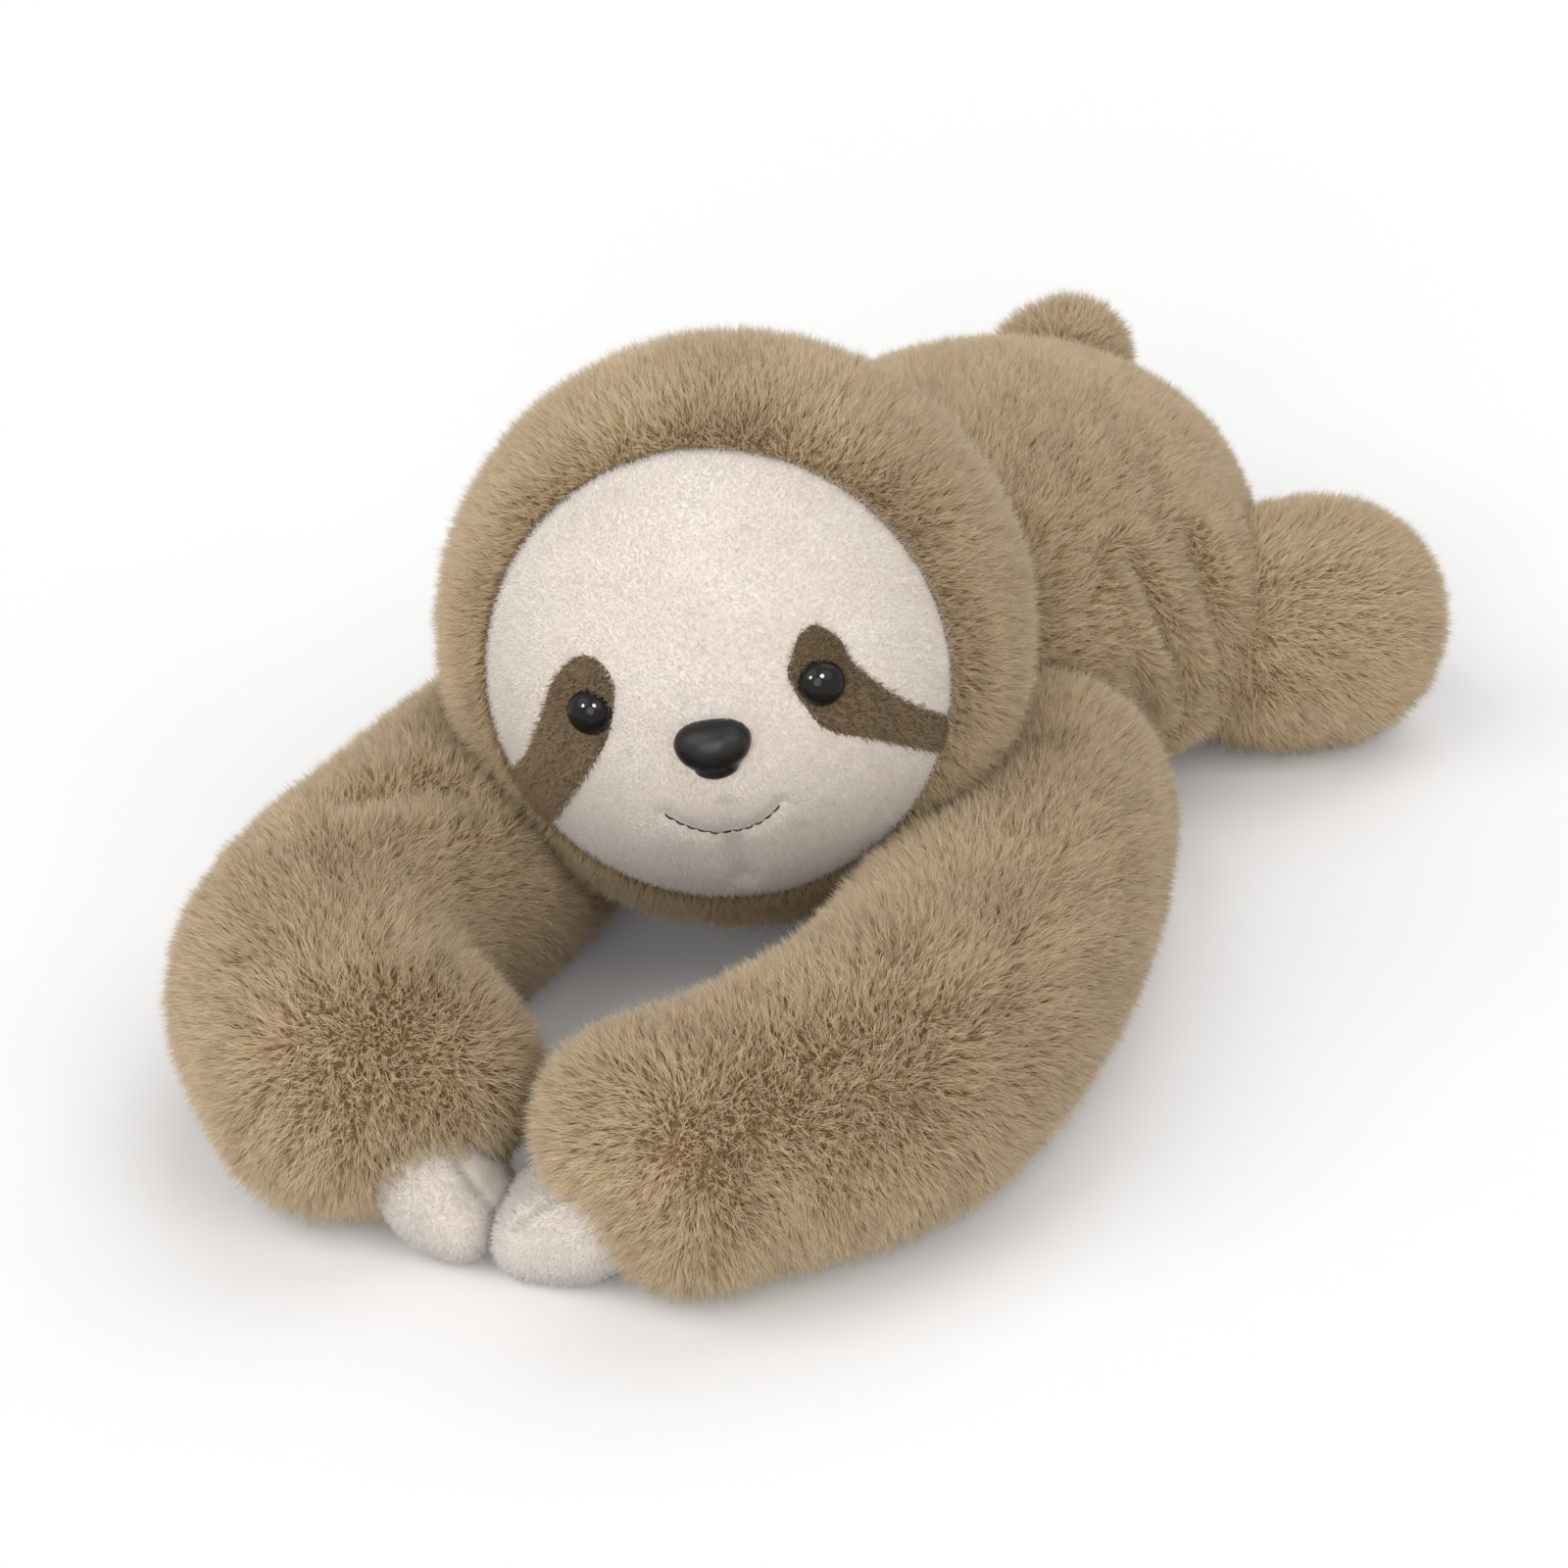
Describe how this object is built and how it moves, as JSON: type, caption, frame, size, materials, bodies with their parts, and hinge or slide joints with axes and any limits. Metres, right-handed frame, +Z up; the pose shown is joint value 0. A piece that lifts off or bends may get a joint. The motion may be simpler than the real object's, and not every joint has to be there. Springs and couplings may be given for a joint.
{
  "type": "weighted plush sloth",
  "caption": "Stuffed plush sloth lying on its belly, arms folded forward in a hug, with a pale round face, dark eye patches, claws and bead weights in body and limbs.",
  "frame": {"origin": "where the belly rests on the ground, below the middle of the torso", "axes": "+Z up, the sloth faces -Y, +X to the sloth's own left"},
  "size_m": [0.3402, 0.5664, 0.2166],
  "materials": {
    "brown_fur": "long matted plush pile, taupe brown with darker roots",
    "cream_pile": "short cream pile, matte",
    "brown_patch": "short brown pile, matte",
    "wadding": "loose polyester wadding",
    "bead_cotton": "plain woven cotton pouch of beads",
    "black_eye": "high gloss black",
    "black_nose": "satin black",
    "lock_washer": "matte white",
    "dark_thread": "twisted dark thread"
  },
  "bodies": {
    "torso": {"body_back_panel": "brown_fur", "body_belly_panel": "brown_fur", "body_stuffing": "wadding", "body_bead_pouch": "bead_cotton"},
    "head": {"head_hood": "brown_fur", "face_panel": "cream_pile", "head_stuffing": "wadding", "eye_patch_left": "brown_patch", "eye_patch_right": "brown_patch", "eye_left": "black_eye", "eye_right": "black_eye", "eye_washer_left": "lock_washer", "eye_washer_right": "lock_washer", "nose": "black_nose", "nose_washer": "lock_washer", "mouth_stitch": "dark_thread"},
    "arm_left": {"arm_cover_left": "brown_fur", "arm_stuffing_left": "wadding", "arm_bead_pouch_left": "bead_cotton", "claw_inner_left": "cream_pile", "claw_outer_left": "cream_pile"},
    "arm_right": {"arm_cover_right": "brown_fur", "arm_stuffing_right": "wadding", "arm_bead_pouch_right": "bead_cotton", "claw_inner_right": "cream_pile", "claw_outer_right": "cream_pile"},
    "leg_left": {"leg_cover_left": "brown_fur", "leg_stuffing_left": "wadding", "leg_bead_pouch_left": "bead_cotton"},
    "leg_right": {"leg_cover_right": "brown_fur", "leg_stuffing_right": "wadding", "leg_bead_pouch_right": "bead_cotton"},
    "tail": {"tail_cover": "brown_fur", "tail_stuffing": "wadding"}
  },
  "joints": [
    {"name": "head_tilt", "type": "hinge", "parent": "torso", "child": "head", "pos_m": [-0.009, -0.185, 0.1225], "axis": [-0.3146, 0.9402, -0.1305], "range_deg": [-10, 20], "stiffness_Nm_per_rad": 1.5},
    {"name": "arm_swing_left", "type": "hinge", "parent": "torso", "child": "arm_left", "pos_m": [0.08, -0.115, 0.0435], "axis": [0, 0, 1], "range_deg": [0, 30]},
    {"name": "arm_swing_right", "type": "hinge", "parent": "torso", "child": "arm_right", "pos_m": [-0.086, -0.115, 0.0455], "axis": [0, 0, -1], "range_deg": [0, 30]},
    {"name": "leg_swing_left", "type": "hinge", "parent": "torso", "child": "leg_left", "pos_m": [0.10878, 0.046, 0.0445], "axis": [0, 0, 1], "range_deg": [-15, 15]},
    {"name": "leg_swing_right", "type": "hinge", "parent": "torso", "child": "leg_right", "pos_m": [-0.10878, 0.046, 0.0445], "axis": [0, 0, -1], "range_deg": [-15, 15]},
    {"name": "tail_bend", "type": "hinge", "parent": "torso", "child": "tail", "pos_m": [-0.01, 0.13425, 0.09928], "axis": [1, 0, 0], "range_deg": [-15, 15], "stiffness_Nm_per_rad": 0.05}
  ]
}
